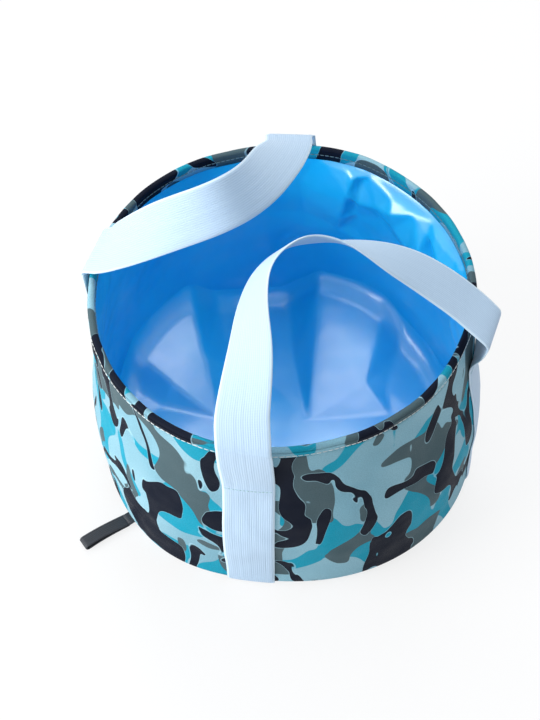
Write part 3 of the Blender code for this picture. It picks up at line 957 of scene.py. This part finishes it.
def build_tack(name):
    """The cross seam at the top of a leg's sewn part."""
    margin = 0.001
    angle = math.radians(LEGS[name][0])
    level = TACK_LEVEL - margin

    def row(distance):
        place = distance - STRAP_WIDTH / 2 + margin
        if place > STRAP_WIDTH / 2 - margin:
            return None
        turned = angle + place / BASE_RADIUS
        radius = wall_radius(turned, level) + STRAP_THICKNESS + 0.0004
        return polar(radius, turned, level), tangent(turned), polar(1, turned)

    thread = stitches(f"tack_seam_{name}", row, TACK_THREAD, length=0.0022, pitch=0.0027,
                      width=0.0007, height=0.0004)
    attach(thread, "base")
    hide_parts(f"strap_tack_{name}")
    squash(thread)


def smooth_curve(points, steps):
    """One smooth curve through a row of points, with the same steps in every span."""
    points = [np.array(point, float) for point in points]
    ends = [points[0]] + points + [points[-1]]
    curve = []
    for span in range(len(points) - 1):
        before, start, end, after = ends[span:span + 4]
        for step in range(steps):
            share = step / steps
            curve.append(0.5 * (2 * start + (end - before) * share
                                + (2 * before - 5 * start + 4 * end - after) * share ** 2
                                + (3 * start - before - 3 * end + after) * share ** 3))
    curve.append(points[-1])
    return np.array(curve)


# Each loop's middle line in its plane: shares of the half span between its legs, and of REACH
FRONT_LOOP = (
    (-1.00, 0.00), (-0.99, 0.08), (-0.87, 0.24), (-0.65, 0.53), (-0.48, 0.79), (-0.29, 0.96),
    (-0.02, 1.00), (0.22, 0.89), (0.43, 0.71), (0.65, 0.48), (0.86, 0.26), (0.98, 0.09),
    (1.00, 0.00),
)
BACK_LOOP = (
    (-1.00, 0.00), (-0.91, 0.09), (-0.71, 0.30), (-0.35, 0.61), (-0.04, 0.87), (0.20, 0.98),
    (0.41, 0.93), (0.61, 0.73), (0.80, 0.43), (0.93, 0.18), (0.99, 0.06), (1.00, 0.00),
)
UP = np.array((0.0, 0.0, 1.0))
# Over these lengths a loop turns from its leg's fold line
FOLDED = 0.035


def loop_centres(name, curve, lean, upright, fade):
    """The middle line of a loop. Near each end it moves over to the leg's own top."""
    (start, end), tops = [[rim_point(*LEGS[f"{name}_{leg}"][part]) for leg in ("first", "second")]
                          for part in (1, 2)]
    along = unit(end - start)
    inward = unit(np.cross(UP, along))
    half_span = np.linalg.norm(end - start) / 2
    middle = (start + end) / 2
    centres = []
    for across, reach in curve:
        bend = ease(reach / upright)
        sideways = inward * math.sin(lean) * bend + UP * math.cos(lean)
        centres.append(middle + along * half_span * across + sideways * REACH * reach)
    centres = np.array(centres)
    lengths = lengths_along(centres)
    for index, length in enumerate(lengths):
        centres[index] += (tops[0] - start) * (1 - ease(length / fade))
        centres[index] += (tops[1] - end) * (1 - ease((lengths[-1] - length) / fade))
    soften_line(centres, 12)
    face = unit(np.cross(along, inward * math.sin(lean) + UP * math.cos(lean)))
    return centres, face


def loop_sides(name, face, top, last, twists):
    """The directions across a loop's webbing, which turns from each leg's side onto its edge."""
    sides = []
    for index in range(last + 1):
        if index <= top:
            share, root, (low, high) = index / top, top_side(f"{name}_first"), twists[0]
        else:
            share, root = (last - index) / (last - top), -top_side(f"{name}_second")
            low, high = twists[1]
        turn = ease((share - low) / (high - low))
        sides.append(root * (1 - turn) + face * turn)
    sides = np.array(sides)
    soften_line(sides, 20)
    return sides


def build_loop(name, loop, lean, upright, fade, twists, measure):
    """A loop between two leg tops, as two halves that meet at its top.
    It rises over the share upright of its reach before it leans; twists gives the shares of
    each half's way up between which the webbing turns onto its edge."""
    curve = smooth_curve(loop, 12)
    top = int(np.argmax(curve[:, 1]))
    last = len(curve) - 1
    centres, face = loop_centres(name, curve, lean, upright, fade)
    sides = loop_sides(name, face, top, last, twists)
    sections, uvs = strap_rows(centres, sides, STRAP_WIDTH, STRAP_THICKNESS, measure, FOLDED)
    for leg, rows, caps, root, ahead in (
            (f"{name}_first", slice(0, top + 1), (True, False), 0, 8),
            (f"{name}_second", slice(top, last + 1), (False, True), -1, -9)):
        half = tube(f"webbing_loop_{leg}", sections[rows], uvs[rows], WEBBING, caps=caps)
        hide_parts(f"{name}_handle")
        fold = top_side(leg)
        away = centres[ahead] - centres[root]
        away = unit(away - fold * np.dot(away, fold))
        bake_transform(half)


def build_webbing():
    for name, loop, lean, upright, fade, twists in (
            ("front", FRONT_LOOP, 55, 0.20, 0.075, ((0.12, 0.95), (0.35, 1.0))),
            ("back", BACK_LOOP, 52.3, 0.12, 0.10, ((0.2, 1.0), (0.2, 1.0)))):
        measure = build_leg(f"{name}_first")
        build_tack(f"{name}_first")
        build_leg(f"{name}_second")
        build_tack(f"{name}_second")
        build_loop(name, loop, math.radians(lean), upright, fade, twists, measure)


# Pull loop, seam strip, hidden nodes
PULL_ANGLE = math.radians(215.5)
PULL_WIDTH = 0.0106
PULL_TUCK = 0.0015
PULL_START = 0.008
PULL_LENGTH = 0.038
STUB_PLACES = ((0, 0.0042), (0.003, 0.0042), (0.006, 0.0040), (0.009, 0.0038))
# Heights of the loop's two layers, at its root and at its folded end
LOWER_LAYER = (0.0026, 0.0012)
UPPER_LAYER = (0.0048, 0.0060)


def pull_point(reach, height, drift=0.0):
    """A place of the pull loop: outwards from the seam, up, and sideways."""
    start = wall_radius(PULL_ANGLE, 0.004) - PULL_TUCK
    return polar(start + reach, PULL_ANGLE, height) + tangent(PULL_ANGLE) * drift


def pull_layer(heights, share):
    height = heights[0] + (heights[1] - heights[0]) * share
    return pull_point(PULL_START + PULL_LENGTH * share, height, -0.0015 * math.sin(2.2 * share))


def dark_strap(name, centres, thickness):
    sides = np.array([tangent(PULL_ANGLE)] * len(centres))
    sections, uvs = strap_rows(np.array(centres), sides, PULL_WIDTH, thickness)
    made = tube(name, sections, uvs, GREY_WEBBING)
    return made


def build_pull_loop():
    """A stub in the seam, then two layers of dark webbing that meet in a rounded fold."""
    stub = dark_strap("pull_stub", [pull_point(*place) for place in STUB_PLACES], 0.0036)
    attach(stub, "base")
    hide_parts("pull_loop_root")

    shares = [step / 19 for step in range(20)]
    middle = (UPPER_LAYER[1] + LOWER_LAYER[1]) / 2
    centres = [pull_layer(LOWER_LAYER, share) for share in shares]
    for step in range(1, 10):
        turn = math.pi * step / 10
        centres.append(pull_point(PULL_START + PULL_LENGTH + 0.0026 * math.sin(turn),
                                  middle - (middle - LOWER_LAYER[1]) * math.cos(turn), -0.0012))
    centres += [pull_layer(UPPER_LAYER, share) for share in reversed(shares)]
    loop = dark_strap("pull_tab", centres, 0.0012)
    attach(loop, "pull_loop")
    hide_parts("pull_loop")


SEAM_ANGLE = math.radians(36)
SEAM_WIDTH = 0.012
SEAM_COLUMNS = 6


def build_seam_strip():
    """The strip that covers the outer wall's closing seam."""
    points, uvs = [], []
    for level in np.linspace(0.004, HEIGHT - HEM_OUTER - 0.0005, 40):
        places = [SEAM_WIDTH * (column / SEAM_COLUMNS - 0.5) for column in range(SEAM_COLUMNS + 1)]
        turns = [SEAM_ANGLE + place / BASE_RADIUS for place in places]
        points.append([polar(wall_radius(turn, level) + 0.0009, turn, level) for turn in turns])
        uvs.append([(place + 0.31, level) for place in places])
    strip = surface("camo_seam_strip", np.array(points), np.array(uvs), CAMO)
    solid(strip, 0.0008)
    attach(strip, "base")
    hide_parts("shell_seam_strip")
    squash(strip)


def build_seam_threads():
    for name, offset in (("left", -0.004), ("right", 0.004)):
        turned = SEAM_ANGLE + offset / BASE_RADIUS

        def row(distance):
            level = 0.006 + distance
            if level > HEIGHT - HEM_OUTER - 0.002:
                return None
            return polar(wall_radius(turned, level) + 0.0010, turned, level), UP, polar(1, turned)

        thread = stitches(f"seam_thread_{name}", row, THREAD)
        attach(thread, "base")
        squash(thread)


def dress_hidden_nodes():
    for name, finish in (("base_board", BOARD), ("base_seam_tape", TAPE)):
        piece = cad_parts[name]
        for index in range(len(piece.material_slots)):
            piece.material_slots[index].material = finish


# Stage, light, camera
GROUND_LEVEL = -0.0004
GROUND_SIZE = 6.0
# Soft lamps: place, target, width, height and power
LAMPS = {
    "window_back": ((0.0, 1.1, 1.4), (0, -0.05, 0.1), 1.2, 0.5, 10.0),
    "top_soft": ((0.1, 0.35, 1.55), (0, 0, 0), 0.8, 0.8, 5.5),
    "key_left": ((-1.3, -0.5, 0.7), (0, 0, 0.1), 0.9, 0.9, 24.0),
    "front_soft": ((0.3, -1.35, 1.0), (0, 0, 0.08), 1.0, 1.0, 3.0),
}
CAMERA_RISE = math.radians(52.08)
CAMERA_TARGET = Vector((-0.0115, 0.0, 0.1001))
FOCAL_LENGTH = 61.7


def turn_white(tree, plain, kind, rays, output, share=1.0):
    """Shows a shader as plain white, by a share, to the camera and some other rays."""
    path = node(tree, "ShaderNodeLightPath")
    seen = path.outputs["Is Camera Ray"]
    for ray in rays:
        seen = number(tree, "MAXIMUM", seen, path.outputs[f"Is {ray} Ray"])
    both = node(tree, "ShaderNodeMixShader", {"Fac": number(tree, "MULTIPLY", seen, share)})
    white = node(tree, kind, {"Color": (1, 1, 1, 1), "Strength": 1.0})
    tree.links.new(plain.outputs[0], both.inputs[1])
    tree.links.new(white.outputs[0], both.inputs[2])
    tree.links.new(both.outputs[0], tree.nodes[output].inputs["Surface"])


def aim(made, target):
    made.rotation_euler = (Vector(target) - made.location).to_track_quat("-Z", "Y").to_euler()


def build_stage():
    """A pale floor that keeps the shadow, and turns plain white further from the basin."""
    made, tree, shader = new_material("pale_floor")
    connect(tree, shader, {"Roughness": 0.9, "Base Color": (0.9, 0.9, 0.9, 1.0)})
    place = node(tree, "ShaderNodeTexCoord").outputs["Object"]
    away = node(tree, "ShaderNodeVectorMath", {0: place}, operation="LENGTH").outputs["Value"]
    turn_white(tree, shader, "ShaderNodeEmission", ("Glossy", "Transmission"), "Material Output",
               step_range(tree, away, 0.3, 1.2, 0.8, 1.0))
    edges = (-GROUND_SIZE, GROUND_SIZE)
    corners = np.array([[(east, north, GROUND_LEVEL) for east in edges] for north in edges])
    surface("ground", corners, corners[:, :, :2], made)


def build_lamps():
    for name, (place, target, width, height, power) in LAMPS.items():
        lamp = bpy.data.lights.new(name, "AREA")
        lamp.shape = "RECTANGLE"
        lamp.size = width
        lamp.size_y = height
        lamp.energy = power
        made = add_object(name, lamp)
        made.location = place
        aim(made, target)


def build_world():
    """Pale blue light from all round, and plain white where the camera or a reflection sees it."""
    world = bpy.data.worlds.new("studio")
    bpy.context.scene.world = world
    world.use_nodes = True
    tree = world.node_tree
    background = tree.nodes["Background"]
    connect(tree, background, {"Color": (0.86, 0.92, 1.0, 1.0), "Strength": 0.40})
    turn_white(tree, background, "ShaderNodeBackground", ("Glossy",), "World Output")


def build_camera():
    lens = bpy.data.cameras.new("view")
    lens.sensor_width = 36.0
    lens.lens = FOCAL_LENGTH
    lens.clip_start = 0.01
    made = add_object("view", lens)
    made.location = CAMERA_TARGET + Vector((0, -math.cos(CAMERA_RISE), math.sin(CAMERA_RISE)))
    aim(made, CAMERA_TARGET)
    bpy.context.scene.camera = made


build_shell()
build_foam()
build_liner_wall()
build_floor()
build_base_panel()
build_hem()
build_cord()
build_topstitch()
build_webbing()
build_pull_loop()
build_seam_strip()
build_seam_threads()
dress_hidden_nodes()
build_stage()
build_world()
build_lamps()
build_camera()
bpy.context.scene.view_settings.view_transform = "Standard"

bpy.context.view_layer.update()
